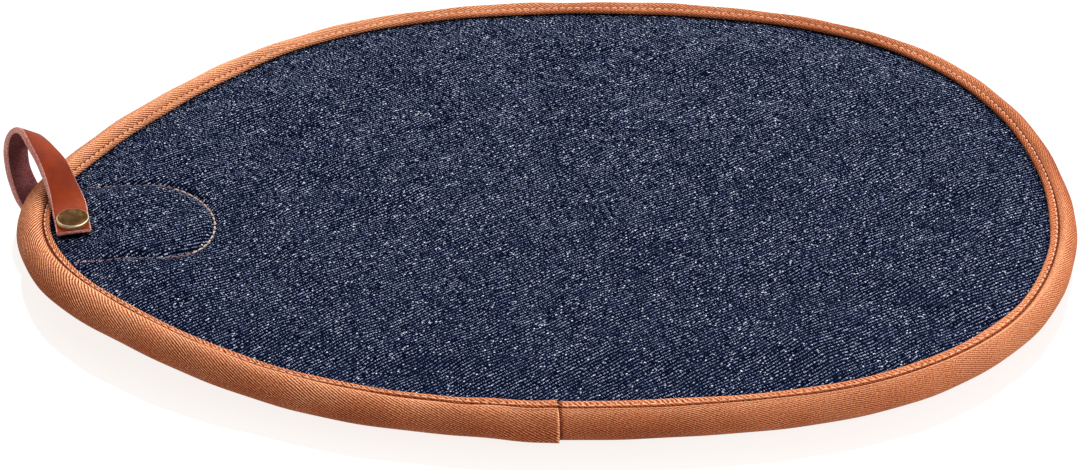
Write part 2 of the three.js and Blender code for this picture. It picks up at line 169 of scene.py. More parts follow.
def rim_distance(xy):
    out = np.empty(len(xy))
    for k in range(0, len(xy), 4000):
        part = xy[k:k + 4000]
        out[k:k + 4000] = np.sqrt(((part[:, None, :] - RIM[None]) ** 2).sum(-1)).min(1)
    return out


def waves(x, y, seed, scale, count=7):
    """Smooth wandering noise: a sum of slow waves in random directions, about -1 to 1."""
    r = np.random.default_rng(seed)
    total = 0.0
    for _ in range(count):
        a = r.uniform(0, 2 * np.pi)
        k = 2 * np.pi / (scale * r.uniform(0.7, 1.5))
        total = total + np.sin(k * (x * np.cos(a) + y * np.sin(a)) + r.uniform(0, 2 * np.pi))
    return total / math.sqrt(count * 1.2)


def dimple(x, y):
    return smooth((18 - np.hypot(x - SNAP_X, y - SNAP_Y)) / 12)


def snap_press(x, y):
    """How far the snap draws the denim down: a shallow bowl with a steep middle."""
    return 0.10 * dimple(x, y) + 0.90 * smooth((5.9 - np.hypot(x - SNAP_X, y - SNAP_Y)) / 1.6)


def crown(x, y):
    return CROWN * np.exp(-((x - 25) ** 2) / 9000 - (y ** 2) / 7000)


def u_line(x):
    return -3.5 - (x + 160) * 0.045


def u_distance(x, y):
    """Signed distance to the U seam, negative inside it."""
    cx = U_FAR - U_HALF
    d = y - u_line(x)
    return np.where(x > cx, np.hypot(x - cx, d), np.abs(d)) - U_HALF


# ---------------------------------------- mesh helpers
def make(name, points, faces):
    """A smooth-shaded object from points in millimetres of the part's own frame."""
    mesh = bpy.data.meshes.new(name)
    mesh.from_pydata([tuple(p) for p in world(points)], [], [tuple(int(i) for i in f) for f in faces])
    mesh.validate()
    mesh.update()
    mesh.shade_smooth()
    obj = bpy.data.objects.new(name, mesh)
    scene.collection.objects.link(obj)
    return obj


def outward_faces(obj, merge=True):
    """Turns every face outwards; without the merge the UVs stay."""
    bm = bmesh.new()
    bm.from_mesh(obj.data)
    if merge:
        bmesh.ops.remove_doubles(bm, verts=bm.verts, dist=2e-6)
    bmesh.ops.recalc_face_normals(bm, faces=bm.faces)
    bm.to_mesh(obj.data)
    bm.free()
    return obj


def grid_faces(rows, cols, wrap_cols=False, start=0, flip=False):
    faces = []
    last = cols if wrap_cols else cols - 1
    for i in range(rows - 1):
        for j in range(last):
            a = start + i * cols + j
            b = start + i * cols + (j + 1) % cols
            f = (a, b, b + cols, a + cols)
            faces.append(f[::-1] if flip else f)
    return faces


# ---------------------------------------- materials
def tree(name):
    m = bpy.data.materials.new(name)
    m.use_nodes = True
    nt = m.node_tree
    bsdf = nt.nodes["Principled BSDF"]
    return m, nt, bsdf


class Nodes:
    """Short names for building a node tree."""

    def __init__(self, nt):
        self.nt = nt

    def new(self, kind, **props):
        n = self.nt.nodes.new(kind)
        for k, v in props.items():
            setattr(n, k, v)
        return n

    def link(self, a, b):
        self.nt.links.new(a, b)

    def put(self, socket, value):
        if isinstance(value, (int, float, tuple, list)):
            socket.default_value = value
        else:
            self.link(value, socket)

    def math(self, op, a, b=0.0, c=0.0, clamp=False):
        n = self.new("ShaderNodeMath", operation=op, use_clamp=clamp)
        self.put(n.inputs[0], a)
        self.put(n.inputs[1], b)
        if op in ("MULTIPLY_ADD", "SMOOTH_MIN", "SMOOTH_MAX"):
            self.put(n.inputs[2], c)
        return n.outputs[0]

    def coords(self):
        return self.new("ShaderNodeTexCoord").outputs["Object"]

    def uv(self):
        return self.new("ShaderNodeUVMap", uv_map="UVMap").outputs["UV"]

    def split(self, vec):
        n = self.new("ShaderNodeSeparateXYZ")
        self.link(vec, n.inputs[0])
        return n.outputs

    def join(self, x, y, z=0.0):
        n = self.new("ShaderNodeCombineXYZ")
        for s, v in zip(n.inputs, (x, y, z)):
            self.put(s, v)
        return n.outputs[0]

    def noise(self, vec, scale, detail=2.0, rough=0.5, dims="3D"):
        n = self.new("ShaderNodeTexNoise", noise_dimensions=dims)
        self.link(vec, n.inputs["Vector"])
        n.inputs["Scale"].default_value = scale
        n.inputs["Detail"].default_value = detail
        n.inputs["Roughness"].default_value = rough
        return n.outputs["Fac"]

    def ramp(self, fac, stops):
        n = self.new("ShaderNodeValToRGB")
        self.link(fac, n.inputs[0])
        el = n.color_ramp.elements
        while len(el) < len(stops):
            el.new(0.5)
        for e, (pos, col) in zip(el, stops):
            e.position = pos
            e.color = col if len(col) == 4 else (*col, 1.0)
        return n.outputs[0]

    def mapr(self, v, a, b, c, d, clamp=True):
        n = self.new("ShaderNodeMapRange", clamp=clamp)
        self.put(n.inputs[0], v)
        for k, w in zip((1, 2, 3, 4), (a, b, c, d)):
            n.inputs[k].default_value = w
        return n.outputs[0]

    def mixc(self, fac, a, b):
        n = self.new("ShaderNodeMix", data_type="RGBA", blend_type="MIX")
        self.put(n.inputs["Factor"], fac)
        self.put(n.inputs[6], a)
        self.put(n.inputs[7], b)
        return n.outputs[2]

    def bump(self, height, strength, distance, normal=None):
        n = self.new("ShaderNodeBump")
        n.inputs["Strength"].default_value = strength
        n.inputs["Distance"].default_value = distance
        self.link(height, n.inputs["Height"])
        if normal is not None:
            self.link(normal, n.inputs["Normal"])
        return n.outputs["Normal"]


def rgb(r, g, b):
    """sRGB 0-255 to linear with alpha."""
    out = []
    for c in (r, g, b):
        c /= 255.0
        out.append(c / 12.92 if c <= 0.04045 else ((c + 0.055) / 1.055) ** 2.4)
    return (*out, 1.0)


FRONT_Y, BACK_Y = -110.0, 120.0


def denim(name, flecks=1.0, level=0.0):
    m, nt, bsdf = tree(name)
    n = Nodes(nt)
    co = n.coords()
    x, y, _ = n.split(co)
    x, y = n.math("MULTIPLY", x, 1000.0), n.math("MULTIPLY", y, 1000.0)
    flat = n.join(x, y)
    # Twill lines climb gently to the right, 1.2 mm apart.
    ang = TWILL_ANGLE
    across = n.math("ADD", n.math("MULTIPLY", x, -math.sin(ang)), n.math("MULTIPLY", y, math.cos(ang)))
    along = n.math("ADD", n.math("MULTIPLY", x, math.cos(ang)), n.math("MULTIPLY", y, math.sin(ang)))
    drift = n.noise(flat, 0.05, 2.0, 0.5, "2D")
    jitter = n.noise(flat, 0.8, 1.0, 0.5, "2D")
    row = n.math("ADD", n.math("MULTIPLY_ADD", drift, 2.2, n.math("DIVIDE", across, TWILL_PITCH)),
                 n.math("MULTIPLY", jitter, 0.4))
    ridge = n.math("MULTIPLY_ADD", n.math("COSINE", n.math("MULTIPLY", row, 2 * math.pi)), 0.5, 0.5)
    row_id = n.math("FLOOR", n.math("ADD", row, 0.5))
    # On each line the weft shows as broken dashes of its own.
    cell = n.join(n.math("MULTIPLY", along, 2.7), n.math("MULTIPLY", row_id, 7.31))
    dash = n.noise(cell, 1.0, 1.5, 0.6, "2D")
    dash = n.mapr(dash, 0.34, 0.66, 0.0, 1.0)
    grain = n.noise(flat, 4.6, 2.0, 0.7, "2D")
    # The lines stand out crisply in places and are rubbed soft in others.
    crisp = n.mapr(n.noise(flat, 0.11, 2.0, 0.55, "2D"), 0.34, 0.66, 1.30, 1.62)
    broad = n.noise(flat, 0.035, 2.0, 0.5, "2D")
    light = n.math("MULTIPLY", ridge, n.math("MULTIPLY_ADD", dash, 0.80, 0.13))
    # The weave is a little paler along the front and darker behind.
    crisp = n.math("MULTIPLY", crisp, n.mapr(y, FRONT_Y, BACK_Y, 0.95, 1.15))
    mean = n.mapr(y, FRONT_Y, BACK_Y, 0.096, 0.022)
    light = n.math("MULTIPLY_ADD", n.math("SUBTRACT", light, 0.27), crisp, mean)
    light = n.math("ADD", light, n.math("MULTIPLY", n.math("SUBTRACT", grain, 0.5), 0.74))
    light = n.math("ADD", light, n.math("MULTIPLY", n.math("SUBTRACT", broad, 0.5), 0.14))
    light = n.math("ADD", light, level)
    base = n.ramp(light, [
        (0.0, rgb(4, 8, 22)),
        (0.16, rgb(13, 19, 41)),
        (0.42, rgb(39, 47, 73)),
        (0.66, rgb(84, 93, 120)),
        (0.90, rgb(158, 166, 190)),
    ])
    soft = n.mapr(crisp, 1.3, 1.5, 0.05, 0.0)
    base = n.mixc(soft, base, rgb(40, 52, 84))
    vor = n.new("ShaderNodeTexVoronoi", voronoi_dimensions="2D", feature="F1")
    n.link(n.join(n.math("MULTIPLY", along, 1.0), n.math("MULTIPLY", across, 1.7)), vor.inputs["Vector"])
    vor.inputs["Scale"].default_value = 1.0
    vcol = n.new("ShaderNodeSeparateColor")
    n.link(vor.outputs["Color"], vcol.inputs[0])
    spot = n.mapr(vor.outputs["Distance"], 0.18, 0.44, 1.0, 0.0)
    fleck = n.math("MULTIPLY", n.math("GREATER_THAN", vcol.outputs[0], 0.975), spot)
    fleck = n.math("MULTIPLY", fleck, n.mapr(vcol.outputs[1], 0.0, 1.0, 0.4, 1.0))
    white = n.mixc(n.math("MULTIPLY", fleck, flecks, 0.0, True), base, rgb(244, 248, 255))
    n.link(white, bsdf.inputs["Base Color"])
    h = n.math("MULTIPLY_ADD", ridge, n.math("MULTIPLY", crisp, 0.8), n.math("MULTIPLY", dash, 0.4))
    h = n.math("ADD", h, n.math("MULTIPLY", grain, 0.4))
    n.link(n.bump(h, 0.5, 0.0003), bsdf.inputs["Normal"])
    bsdf.inputs["Roughness"].default_value = 0.92
    bsdf.inputs["Specular IOR Level"].default_value = 0.0
    return m


# Where the furrow and the crest of the roll lie, across the tape from its upper lip: a painted shade line
# along the furrow, a painted highlight along the crest.
FURROW_V, CREST_HIGHLIGHT_V = 3.75, 6.6


def tape(name, start, end):
    """Cotton twill tape, UV (along, across) in millimetres. Its start lies under its folded end."""
    m, nt, bsdf = tree(name)
    n = Nodes(nt)
    uv = n.uv()
    u, v, _ = n.split(uv)
    co = n.coords()
    x, y, _ = n.split(co)
    soft = n.noise(co, 90.0, 2.0)
    # Ribs cross the tape at a slant, well under a millimetre apart.
    slant = RIB_ANGLE
    cos, sin = math.cos(slant), math.sin(slant)
    rib_at = n.math("SUBTRACT", n.math("MULTIPLY", v, cos), n.math("MULTIPLY", u, sin))
    run = n.math("ADD", n.math("MULTIPLY", v, sin), n.math("MULTIPLY", u, cos))
    rib_at = n.math("MULTIPLY_ADD", soft, 1.6, rib_at)
    phase = n.math("MULTIPLY", rib_at, 2 * math.pi / RIB_PITCH)
    rib = n.math("MULTIPLY_ADD", n.math("COSINE", phase), 0.5, 0.5)
    pick_at = n.join(n.math("MULTIPLY", run, 1.9), n.math("MULTIPLY", rib_at, 1.28))
    pick = n.noise(pick_at, 1.0, 1.0, 0.5, "2D")
    fibre_at = n.join(n.math("MULTIPLY", run, 1.3), n.math("MULTIPLY", rib_at, 4.6))
    fibre = n.noise(fibre_at, 1.0, 3.0, 0.65, "2D")
    worn = n.noise(co, 40.0, 3.0, 0.55)
    # Ribs stand out round the narrow tip and are pressed smooth towards the wide end.
    press = n.mapr(n.noise(co, 65.0, 2.0), 0.35, 0.65, 0.6, 1.0)
    press = n.math("MULTIPLY", press, n.mapr(x, -0.15, 0.10, 1.15, 0.60))
    light = n.math("MULTIPLY", n.math("SUBTRACT", rib, 0.55), n.math("MULTIPLY", press, 0.78))
    light = n.math("ADD", light, 0.56)
    light = n.math("ADD", light, n.math("MULTIPLY", n.math("SUBTRACT", fibre, 0.5), 0.68))
    light = n.math("ADD", light, n.math("MULTIPLY", n.math("SUBTRACT", pick, 0.5), 0.60))
    light = n.math("ADD", light, n.math("MULTIPLY", n.math("SUBTRACT", worn, 0.5), 0.30))
    # The stitched furrow, the start under the folded end and the lower edge gather shade.
    groove = n.math("ABSOLUTE", n.math("SUBTRACT", v, FURROW_V))
    light = n.math("SUBTRACT", light, n.mapr(groove, 0.25, 1.0, 0.42, 0.0))
    under = n.mapr(x, 0.02, 0.11, 1.0, 0.2)
    light = n.math("SUBTRACT", light, n.math("MULTIPLY", n.mapr(v, 9.0, 17.5, 0.0, 0.24), under))
    # Slightly darker round the far side of the wide end and at the tip.
    far = n.math("MULTIPLY", n.mapr(y, 0.02, 0.09, 0.0, 0.17), n.mapr(x, -0.06, 0.04, 0.0, 1.0))
    east = n.math("MULTIPLY", n.mapr(x, 0.12, 0.17, 0.0, 0.19), n.mapr(y, -0.07, -0.01, 0.0, 1.0))
    tip = n.mapr(x, -0.172, -0.150, 0.09, 0.0)
    light = n.math("SUBTRACT", light, n.math("ADD", tip, n.math("MAXIMUM", far, east)))
    # A painted highlight along the crest of the roll.
    crest = n.math("ABSOLUTE", n.math("SUBTRACT", v, CREST_HIGHLIGHT_V))
    light = n.math("ADD", light, n.mapr(crest, 0.0, 3.4, 0.16, 0.0))
    light = n.math("SUBTRACT", light, n.mapr(u, start, start + 1.4, 0.45, 0.0))
    # A painted highlight along the edge of the folded end.
    light = n.math("ADD", light, n.mapr(u, end - 0.9, end - 0.3, 0.0, 0.35))
    col = n.ramp(light, [
        (0.05, rgb(92, 34, 16)),
        (0.32, rgb(148, 74, 42)),
        (0.60, rgb(196, 117, 77)),
        (0.95, rgb(252, 188, 142)),
    ])
    n.link(col, bsdf.inputs["Base Color"])
    ribs = n.math("MULTIPLY", rib, n.math("MULTIPLY", press, 0.9))
    h = n.math("ADD", ribs, n.math("MULTIPLY", fibre, 0.5))
    n.link(n.bump(h, 0.6, 0.00026), bsdf.inputs["Normal"])
    bsdf.inputs["Roughness"].default_value = 0.85
    bsdf.inputs["Specular IOR Level"].default_value = 0.08
    bsdf.inputs["Sheen Weight"].default_value = 0.03
    bsdf.inputs["Sheen Roughness"].default_value = 0.4
    bsdf.inputs["Sheen Tint"].default_value = rgb(255, 205, 165)
    return m


def thread(name, dark, pale):
    m, nt, bsdf = tree(name)
    n = Nodes(nt)
    co = n.coords()
    ply = n.noise(co, 2600.0, 2.0, 0.6)
    fade = n.noise(co, 55.0, 2.0)
    t = n.math("ADD", n.math("MULTIPLY", ply, 0.6), n.math("MULTIPLY", fade, 0.4))
    col = n.ramp(t, [(0.3, dark), (0.7, pale)])
    n.link(col, bsdf.inputs["Base Color"])
    n.link(n.bump(ply, 0.5, 0.0001), bsdf.inputs["Normal"])
    bsdf.inputs["Roughness"].default_value = 0.6
    bsdf.inputs["Sheen Weight"].default_value = 0.15
    return m


def leather(name, low, mid, high, grain_scale, rough, bump, sheen=0.0, fleck=0.35):
    m, nt, bsdf = tree(name)
    n = Nodes(nt)
    co = n.coords()
    cells = n.new("ShaderNodeTexVoronoi", feature="DISTANCE_TO_EDGE")
    n.link(co, cells.inputs["Vector"])
    cells.inputs["Scale"].default_value = grain_scale
    pores = n.mapr(cells.outputs["Distance"], 0.0, 0.12, 0.0, 1.0)
    fine = n.noise(co, grain_scale * 1.6, 3.0, 0.6)
    cloud = n.noise(co, 90.0, 3.0, 0.6)
    t = n.math("ADD", n.math("MULTIPLY", cloud, 1.0 - fleck), n.math("MULTIPLY", fine, fleck))
    col = n.ramp(t, [(0.36, low), (0.5, mid), (0.66, high)])
    n.link(col, bsdf.inputs["Base Color"])
    h = n.math("ADD", n.math("MULTIPLY", pores, 0.6), n.math("MULTIPLY", fine, 0.6))
    n.link(n.bump(h, bump, 0.00012), bsdf.inputs["Normal"])
    n.link(n.mapr(cloud, 0.3, 0.7, rough - 0.06, rough + 0.08), bsdf.inputs["Roughness"])
    bsdf.inputs["Specular IOR Level"].default_value = 0.07
    if sheen:
        bsdf.inputs["Sheen Weight"].default_value = sheen
        bsdf.inputs["Sheen Roughness"].default_value = 0.5
    return m


def brass(name):
    """Antique brass: dark on the flats, the rolled rim painted pale as a highlight."""
    m, nt, bsdf = tree(name)
    n = Nodes(nt)
    co = n.coords()
    x, y, _ = n.split(co)
    dx = n.math("SUBTRACT", x, (SNAP_X + ORIGIN[0]) / 1000.0)
    dy = n.math("SUBTRACT", y, (SNAP_Y + ORIGIN[1]) / 1000.0)
    r2 = n.math("ADD", n.math("MULTIPLY", dx, dx), n.math("MULTIPLY", dy, dy))
    radius = n.math("MULTIPLY", n.math("SQRT", r2), 1000.0)
    patina = n.noise(co, 420.0, 4.0, 0.62)
    scratch = n.noise(co, 2400.0, 2.0, 0.6)
    col = n.ramp(patina, [(0.30, rgb(40, 28, 17)), (0.55, rgb(60, 43, 28)), (0.78, rgb(102, 76, 50))])
    # Painted highlight: the rolled rim is painted pale cream, varied by the patina.
    rim = n.mapr(radius, 5.0, 5.3, 0.0, 1.0)
    rim = n.math("MULTIPLY", rim, n.mapr(patina, 0.25, 0.6, 0.55, 1.0))
    n.link(n.mixc(rim, col, rgb(226, 206, 168)), bsdf.inputs["Base Color"])
    bsdf.inputs["Metallic"].default_value = 1.0
    bsdf.inputs["Specular Tint"].default_value = rgb(214, 198, 184)
    n.link(n.mapr(patina, 0.3, 0.7, 0.48, 0.34), bsdf.inputs["Roughness"])
    n.link(n.bump(scratch, 0.12, 0.00004), bsdf.inputs["Normal"])
    return m


def cotton(name, low, high):
    """Plain woven lining."""
    m, nt, bsdf = tree(name)
    n = Nodes(nt)
    co = n.coords()
    x, y, _ = n.split(co)
    warp = n.math("SINE", n.math("MULTIPLY", x, 2 * math.pi / 0.0007))
    weft = n.math("SINE", n.math("MULTIPLY", y, 2 * math.pi / 0.0007))
    weave = n.math("MULTIPLY", warp, weft)
    slub = n.noise(n.join(n.math("MULTIPLY", x, 120.0), n.math("MULTIPLY", y, 1500.0)), 1.0, 3.0, 0.6, "2D")
    cloud = n.noise(co, 40.0, 3.0)
    t = n.math("ADD", n.math("MULTIPLY", slub, 0.55), n.math("MULTIPLY", cloud, 0.45))
    t = n.math("MULTIPLY_ADD", weave, 0.12, t)
    n.link(n.ramp(t, [(0.3, low), (0.7, high)]), bsdf.inputs["Base Color"])
    h = n.math("ADD", n.math("MULTIPLY", weave, 0.5), slub)
    n.link(n.bump(h, 0.4, 0.00018), bsdf.inputs["Normal"])
    bsdf.inputs["Roughness"].default_value = 0.9
    bsdf.inputs["Sheen Weight"].default_value = 0.15
    return m


def fibres(name):
    """Loose cotton wadding."""
    m, nt, bsdf = tree(name)
    n = Nodes(nt)
    co = n.coords()
    tuft = n.noise(co, 260.0, 5.0, 0.7)
    n.link(n.ramp(tuft, [(0.3, rgb(198, 190, 172)), (0.7, rgb(240, 236, 224))]), bsdf.inputs["Base Color"])
    n.link(n.bump(tuft, 0.8, 0.0008), bsdf.inputs["Normal"])
    bsdf.inputs["Roughness"].default_value = 0.97
    bsdf.inputs["Sheen Weight"].default_value = 0.3
    return m


DENIM = denim("denim_face_twill")
DENIM_BACK = denim("denim_pocket_twill", 0.8, -0.03)
TAPE = tape("binding_twill_tape", TAPE_START, TAPE_END)
THREAD_TAN = thread("thread_tan", rgb(184, 112, 72), rgb(244, 190, 144))
THREAD_GOLD = thread("thread_gold", rgb(142, 102, 78), rgb(226, 202, 176))
THREAD_RED = thread("thread_rust", rgb(88, 48, 44), rgb(138, 84, 68))
HIDE = leather("leather_face", rgb(108, 34, 9), rgb(128, 43, 11), rgb(145, 57, 18), 1500.0, 0.55, 0.3)
HIDE_EDGE = leather("leather_cut_edge", rgb(138, 60, 50), rgb(204, 136, 124), rgb(250, 214, 206),
                    2100.0, 0.85, 0.9, 0.0, 0.8)
HIDE_BACK = leather("leather_suede", rgb(54, 8, 12), rgb(100, 34, 34), rgb(186, 120, 122),
                    2300.0, 0.95, 0.9, 0.15, 0.8)
BRASS = brass("brass_antique")
LINING = cotton("lining_cotton", rgb(30, 38, 62), rgb(58, 70, 104))
WADDING = fibres("wadding_fibres")


def dress(obj, *materials):
    obj.data.materials.clear()
    for m in materials:
        obj.data.materials.append(m)
    return obj


# ---------------------------------------- camera
AZ, EL, ROLL = math.radians(-8.99), math.radians(34.067), math.radians(1.238)
EYE = (-151.07, -939.49, 636.91)
LENS, SENSOR = 111.092333, 36
back = Vector((math.sin(AZ) * math.cos(EL), -math.cos(AZ) * math.cos(EL), math.sin(EL)))
right = Vector((0, 0, 1)).cross(back).normalized()
upward = back.cross(right)
cam_x = right * math.cos(ROLL) + upward * math.sin(ROLL)
cam_y = -right * math.sin(ROLL) + upward * math.cos(ROLL)
eye = (Vector(EYE) + Vector(ORIGIN)) / 1000.0
cam_data = bpy.data.cameras.new("camera")
cam_data.lens = LENS
cam_data.sensor_width = SENSOR
cam_data.sensor_fit = "HORIZONTAL"
cam_data.clip_end = 20
camera = bpy.data.objects.new("camera", cam_data)
scene.collection.objects.link(camera)
camera.matrix_world = Matrix((
    (cam_x.x, cam_y.x, back.x, eye.x),
    (cam_x.y, cam_y.y, back.y, eye.y),
    (cam_x.z, cam_y.z, back.z, eye.z),
    (0, 0, 0, 1)))
scene.camera = camera

# ---------------------------------------- the padded layers
# The rings close on a short spine along the middle: its share of the length, and its place.
SPINE_SHARE, SPINE_X, SPINE_Y = 0.40, 6.0, -2.0


def disc_points(depth, n_t, n_q):
    """Rings from the outline inset by depth to a short spine, as an (n_q, n_t, 2) array."""
    t = np.linspace(0, 2 * np.pi, n_t, endpoint=False)
    edge = inset(t, np.full(n_t, depth))
    spine = np.stack([HALF_LENGTH * np.cos(t) * SPINE_SHARE + SPINE_X, np.full(n_t, SPINE_Y)], -1)
    q = np.linspace(0, 1, n_q)
    q = q * 0.75 + 0.25 * q ** 1.6
    return edge[None] * (1 - q[:, None, None]) + spine[None] * q[:, None, None]


def disc_layer(name, depth, bottom, top, n_t, n_q):
    """A closed layer whose upper and lower faces are given by functions of x, y and e."""
    xy = disc_points(depth, n_t, n_q).reshape(-1, 2)
    dist = rim_distance(xy)
    e = from_edge(dist)
    x, y = xy.T
    zt = top(x, y, e, dist) + lift(x)
    zb = bottom(x, y, e, dist) + lift(x)
    pts = np.vstack([np.c_[xy, zt], np.c_[xy, zb]])
    total = len(xy)
    faces = grid_faces(n_q, n_t, True)
    faces += grid_faces(n_q, n_t, True, total, True)
    for j in range(n_t):
        k = (j + 1) % n_t
        faces.append((j, k, k + total, j + total)[::-1])
    obj = make(name, pts, faces)
    return outward_faces(obj)


def face_plain(x, y, e):
    return mix(FACE_EDGE, FACE_TOP, e) + crown(x, y) - DIMPLE * snap_press(x, y)


CREASE_X, CREASE_Y = -128.0, -6.0


def face_relief(x, y, e, dist):
    """Soft relief of the stuffed denim: slow swells, short puckers at the tape, the U seam."""
    inside = smooth((dist - 10) / 22)
    swell = 0.42 * waves(x, y, 3, 62) + 0.22 * waves(x, y, 5, 30)
    swell *= inside
    # Puckers run in from the stitched edge and die out.
    theta = np.arctan2(y, x)
    pucker = np.sin(theta * 46 + 2.2 * waves(x, y, 8, 55)) * (0.5 + 0.5 * waves(x, y, 9, 90))
    pucker *= 0.16 * smooth((dist - 8) / 5) * (1 - smooth((dist - 16) / 22))
    # Creases near the narrow end, radiating from the U seam.
    ang = np.arctan2(y - CREASE_Y, x - CREASE_X)
    rad = np.hypot(x - CREASE_X, y - CREASE_Y)
    crease = np.sin(ang * 11 + 1.5 * waves(x, y, 21, 60))
    crease *= smooth((rad - 22) / 18) * (1 - smooth((rad - 60) / 60))
    crease *= 0.30 * inside
    us = u_distance(x, y)
    near_u = smooth((U_FAR + 16 - x) / 10) * inside
    puff = 0.75 * smooth(-us / 9) * smooth((x + 168) / 14)
    furrow = -(1.0 + 0.4 * smooth((x + 135) / 12)) * np.exp(-((us / 1.7) ** 2))
    sunk = -0.55 * (1 - smooth((dist - tape_cover(x) - 0.3) / 5))
    calm = 1 - 0.85 * smooth((17 - np.hypot(x - SNAP_X, y - SNAP_Y - 3)) / 8)
    # The stuffing crowds up round the snap, close under the strap's end.
    r = np.hypot(x - SNAP_X, y - SNAP_Y)
    ring = smooth((r - 4.2) / 1.6) * smooth((16 - r) / 8) * smooth((dist - tape_cover(x) - 0.5) / 5)
    ring = ring * (STRAP_REST - lift(x) - face_plain(x, y, e))
    return (swell + pucker + crease + puff * near_u) * calm + furrow * near_u + sunk + ring


N_T, N_Q = ((620, 96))


def face_top(x, y, e, dist):
    return face_plain(x, y, e) + face_relief(x, y, e, dist)


denim_face = disc_layer(
    "denim_face_skin", FACE_INSET,
    lambda x, y, e, dist: face_top(x, y, e, dist) - DENIM_THICK,
    face_top, N_T, N_Q)
dress(denim_face, DENIM)


def face_height(x, y):
    x = np.atleast_1d(np.asarray(x, float))
    y = np.atleast_1d(np.asarray(y, float))
    d = rim_distance(np.c_[x, y])
    e = from_edge(d)
    return face_top(x, y, e, d) + lift(x)


def wadding_floor(x, y, e, dist):
    return mix(WADDING_EDGE, CAVITY_TOP + WADDING_GAP, e) - PINCH * dimple(x, y)


def wadding_top(x, y, e, dist):
    """Just under the denim, and lower over the stay patch."""
    under_denim = face_plain(x, y, e) - 1.9 - 1.0 * smooth((-98 - x) / 8)
    return np.maximum(under_denim, wadding_floor(x, y, e, dist) + 0.1)


wadding = disc_layer("wadding_layer", WADDING_INSET, wadding_floor, wadding_top, 240, 26)
dress(wadding, WADDING)


def lining_height(x, y, e, at_edge, in_middle):
    ripple = 0.10 * waves(x, y, 31, 26) * e
    return mix(at_edge, in_middle, e) - PINCH * dimple(x, y) + ripple


lining = disc_layer(
    "lining_sheet", LINING_INSET,
    lambda x, y, e, dist: lining_height(x, y, e, LINING_EDGE, CAVITY_TOP),
    lambda x, y, e, dist: lining_height(x, y, e, LINING_EDGE + 0.6, CAVITY_TOP + LINING_THICK),
    360, 40)
dress(lining, LINING)


# ---------------------------------------- pocket panels
def angle_at(x, depth, upper):
    lo, hi = 0.02, math.pi - 0.02
    for _ in range(40):
        mid = (lo + hi) / 2
        p = inset(np.array([mid if upper else -mid]), np.array([depth]))[0]
        if p[0] > x:
            lo = mid
        else:
            hi = mid
    return lo if upper else -lo


def panel(name, tip, mouth, cols, rows, seed):
    depth = LINING_INSET
    edge = mouth + tip * 1.5
    x_tip = inset(np.array([math.pi if tip < 0 else 0.0]), np.array([depth]))[0][0]
    ks = np.linspace(0.05, 1, cols)
    xs = mix(x_tip, edge, 1 - np.cos(ks * math.pi / 2))
    xs = np.sort(np.append(xs, [edge + tip * 2.0, edge + tip * 4.2, edge + tip * 7.0]))
    if tip > 0:
        xs = xs[::-1]
    pts = []
    for x in xs:
        hi = inset(np.array([angle_at(x, depth, True)]), np.array([depth]))[0][1]
        lo = inset(np.array([angle_at(x, depth, False)]), np.array([depth]))[0][1]
        v = np.sin(np.linspace(-1, 1, rows) * math.pi / 2)
        pts.append(np.c_[np.full(rows, x), mix(lo, hi, (v + 1) / 2)])
    xy = np.vstack(pts)
    x, y = xy.T
    d = rim_distance(xy)
    e = from_edge(d)
    near = smooth((np.abs(x - edge) - 4.2) / 9)
    zb = mix(2.6, mix(1.3, 0.0, near), e)
    thick = mix(0.5, 1.2, near * e)
    ripple = 0.10 * waves(x, y, seed, 30) * near * e
    zt = zb + thick + np.abs(ripple)
    zb = zb + lift(x) + np.maximum(ripple, 0) * 0.8
    zt = zt + lift(x)
    total = len(xy)
    full = len(xs)
    faces = grid_faces(full, rows) + grid_faces(full, rows, False, total, True)
    index = np.arange(total).reshape(full, rows)
    rim = [*index[0], *index[1:, -1], *index[-1, -2::-1], *index[-2:0:-1, 0]]
    for a, b in zip(rim, rim[1:] + rim[:1]):
        faces.append((a, b, b + total, a + total))
    obj = make(name, np.vstack([np.c_[xy, zt], np.c_[xy, zb]]), faces)
    return dress(outward_faces(obj), DENIM_BACK)


finger_panel = panel("finger_pocket_cloth", 1, FINGER_MOUTH, 46, 60, 41)
thumb_panel = panel("thumb_pocket_cloth", -1, THUMB_MOUTH, 40, 56, 43)


# ---------------------------------------- swept strips
def spline(points, count, closed=False):
    """Catmull-Rom through points, count samples."""
    p = np.asarray(points, float)
    n = len(p)
    s = np.linspace(0, n if closed else n - 1, count, endpoint=not closed)
    i = np.minimum(np.floor(s).astype(int), n - 1 if closed else n - 2)
    f = (s - i)[:, None]
    if closed:
        a, b, c, d = p[(i - 1) % n], p[i % n], p[(i + 1) % n], p[(i + 2) % n]
    else:
        a, b, c, d = p[np.maximum(i - 1, 0)], p[i], p[np.minimum(i + 1, n - 1)], p[np.minimum(i + 2, n - 1)]
    return 0.5 * ((2 * b) + (-a + c) * f + (2 * a - 5 * b + 4 * c - d) * f ** 2
                  + (-a + 3 * b - 3 * c + d) * f ** 3)


def strip(name, rings, along, across):
    """Rings of points (n, m, 3) joined into a tube, with UVs along and across in millimetres."""
    n, m, _ = rings.shape
    pts = rings.reshape(-1, 3)
    faces = grid_faces(n, m, True)
    quads = len(faces)
    c0 = len(pts)
    pts = np.vstack([pts, rings[0].mean(0), rings[-1].mean(0)])
    for j in range(m):
        k = (j + 1) % m
        faces.append((c0, k, j))
        faces.append((c0 + 1, (n - 1) * m + j, (n - 1) * m + k))
    obj = make(name, pts, faces)
    uv = obj.data.uv_layers.new(name="UVMap")
    arr = np.zeros((len(obj.data.loops), 2), np.float32)
    loop = 0
    per = np.append(across, across[-1] + np.linalg.norm(rings[0][0] - rings[0][-1]))
    for f in range(quads):
        i, j = divmod(f, m)
        u0, u1, v0, v1 = along[i], along[i + 1], per[j], per[j + 1]
        arr[loop:loop + 4] = [(u0, v0), (u0, v1), (u1, v1), (u1, v0)]
        loop += 4
    for f in range(quads, len(faces)):
        arr[loop:loop + 3] = [(0, 0), (1, 0), (1, 1)]
        loop += 3
    uv.data.foreach_set("uv", arr.ravel())
    return obj


FURROW = 7.0
SINK = 0.95


